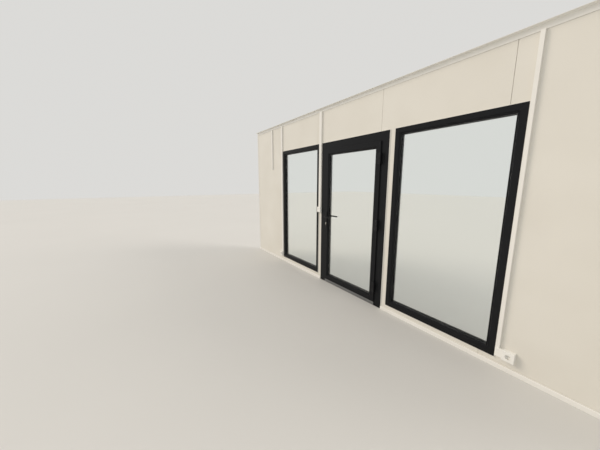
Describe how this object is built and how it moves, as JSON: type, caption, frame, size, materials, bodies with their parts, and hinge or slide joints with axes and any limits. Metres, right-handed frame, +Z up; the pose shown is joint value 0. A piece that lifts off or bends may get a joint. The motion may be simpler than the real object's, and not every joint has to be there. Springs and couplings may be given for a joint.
{
  "type": "glazed studio wall with door",
  "caption": "Front wall of a garden studio: white sandwich panels, two fixed black-framed windows and a black-framed glazed door that opens inwards between them.",
  "frame": {"origin": "middle of the floor channel's underside, halfway along the wall and through its thickness", "axes": "+X along the wall to the right seen from the room, +Y out to the garden, +Z up"},
  "size_m": [5.58, 0.219, 2.54],
  "materials": {
    "panel_white": "satin coil coating on steel skins, slight orange peel",
    "channel_white": "satin white folded steel",
    "frame_black": "fine grained black profile",
    "clear_glass": "clear float glass",
    "seal_rubber": "matt black glazing rubber",
    "spacer_metal": "mill finish with punched holes",
    "threshold_metal": "natural anodised, fine lines lengthwise",
    "hinge_black": "black powder coat",
    "handle_black": "satin black powder coat",
    "lock_steel": "brushed",
    "cylinder_nickel": "polished nickel",
    "trim_plastic": "smooth white plastic"
  },
  "bodies": {
    "wall": {"base_channel": "channel_white", "top_channel": "channel_white", "end_channels": "channel_white", "end_panel_left": "panel_white", "window_panel_left": "panel_white", "door_pier_left": "panel_white", "door_lintel": "panel_white", "door_pier_right": "panel_white", "window_lintel_right": "panel_white", "window_sill_right": "panel_white", "end_panel_right": "panel_white", "window_frame_left": "frame_black", "window_frame_right": "frame_black", "window_beads": "frame_black", "window_glass": "clear_glass", "window_spacers": "spacer_metal", "window_gaskets": "seal_rubber", "door_frame": "frame_black", "threshold": "threshold_metal", "strike_plate": "lock_steel", "hinge_frame_leaves": "hinge_black", "hinge_pins": "lock_steel", "cornice_trim": "channel_white", "skirting": "trim_plastic", "cable_trunking": "trim_plastic", "switch_box": "trim_plastic", "switch_rocker": "trim_plastic", "socket_boxes": "trim_plastic", "socket_inserts": "trim_plastic", "junction_box": "trim_plastic", "flashings": "channel_white", "window_sills": "channel_white"},
    "leaf": {"leaf_frame": "frame_black", "leaf_beads": "frame_black", "leaf_glass": "clear_glass", "leaf_spacer": "spacer_metal", "leaf_gaskets": "seal_rubber", "hinge_door_leaves": "hinge_black", "lock_faceplate": "lock_steel", "lock_cylinder": "cylinder_nickel", "handle_plates": "handle_black"},
    "lever": {"lever_inside": "handle_black", "lever_outside": "handle_black", "spindle": "lock_steel"}
  },
  "joints": [
    {"name": "door_hinge", "type": "hinge", "parent": "wall", "child": "leaf", "pos_m": [0.497, -0.084, 1.01], "axis": [0, 0, 1], "range_deg": [0, 100]},
    {"name": "lever_turn", "type": "hinge", "parent": "leaf", "child": "lever", "pos_m": [-0.42, -0.0395, 1.01], "axis": [0, 1, 0], "range_deg": [0, 45], "stiffness_Nm_per_rad": 1.5, "springref_deg": -20.05}
  ]
}
